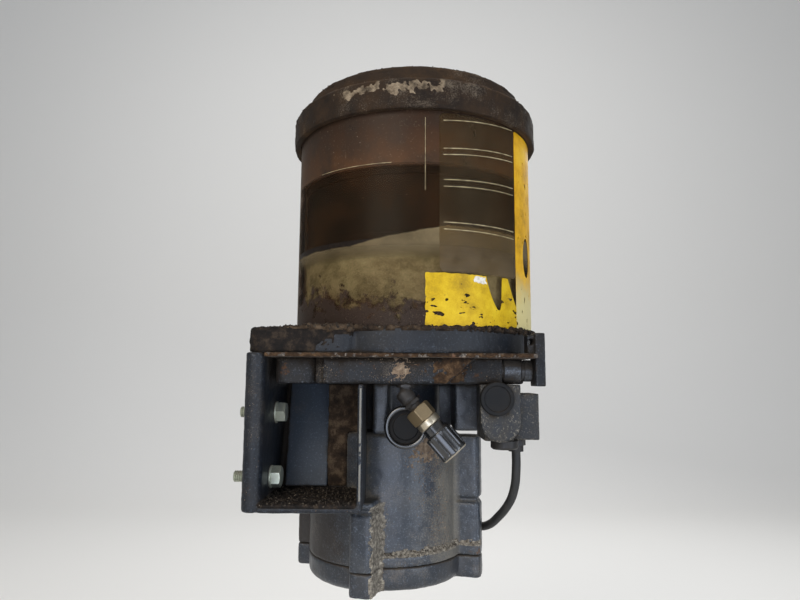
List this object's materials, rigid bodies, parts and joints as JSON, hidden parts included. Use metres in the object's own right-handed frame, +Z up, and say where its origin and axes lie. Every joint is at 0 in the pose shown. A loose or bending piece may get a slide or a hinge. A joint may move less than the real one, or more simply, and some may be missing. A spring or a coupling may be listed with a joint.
{
  "type": "automatic lubrication pump",
  "caption": "Electric grease pump with a clear cylindrical reservoir, follower plate and lid, a round motor housing and a bolt-on side bracket.",
  "frame": {"origin": "centre of the two mounting bolts on the outer face of the bracket wall", "axes": "+Z up along the reservoir, +X from the mounting face into the pump, -Y towards the service side"},
  "size_m": [0.2225, 0.195, 0.379],
  "materials": {
    "frame_steel": "rusty",
    "housing_paint": "satin dark paint, dusty",
    "clear_tube": "clear plastic, stained",
    "lid_plastic": "dusty",
    "follower_rubber": "greasy",
    "grease": "greasy",
    "zinc_bolts": "zinc plated",
    "brass_fitting": "tarnished",
    "black_plastic": "moulded",
    "hose_rubber": "matte",
    "dark_steel": "dirty"
  },
  "bodies": {
    "frame": {"top_plate": "frame_steel", "reservoir_base": "housing_paint", "reservoir_tube": "clear_tube", "grease": "grease", "side_bracket": "housing_paint", "pocket_panel": "housing_paint", "mounting_bolts": "zinc_bolts", "pump_block": "housing_paint", "end_block": "housing_paint", "side_plug": "dark_steel", "right_lug": "frame_steel", "neck_casting": "housing_paint", "motor_housing": "housing_paint", "end_cover": "housing_paint", "cover_screws": "dark_steel", "filler_port": "black_plastic", "filler_elbow": "dark_steel", "filler_nut": "brass_fitting", "filler_ring": "dark_steel", "valve_body": "housing_paint", "valve_cap": "black_plastic", "valve_foot": "dark_steel", "hose_fitting": "dark_steel", "jumper_hose": "hose_rubber"},
    "follower": {"follower_plate": "follower_rubber"},
    "cover": {"lid": "lid_plastic", "lid_vent": "lid_plastic"},
    "cap": {"dust_cap": "black_plastic"}
  },
  "joints": [
    {"name": "follower_slide", "type": "slide", "parent": "frame", "child": "follower", "axis": [0, 0, 1], "range_m": [-0.054, 0.043], "deforming": ["grease"]},
    {"name": "lid_lift", "type": "slide", "parent": "frame", "child": "cover", "axis": [0, 0, 1], "range_m": [0, 0.04]},
    {"name": "cap_pull", "type": "slide", "parent": "frame", "child": "cap", "axis": [0.6601, -0.0872, -0.7461], "range_m": [0, 0.03]}
  ]
}
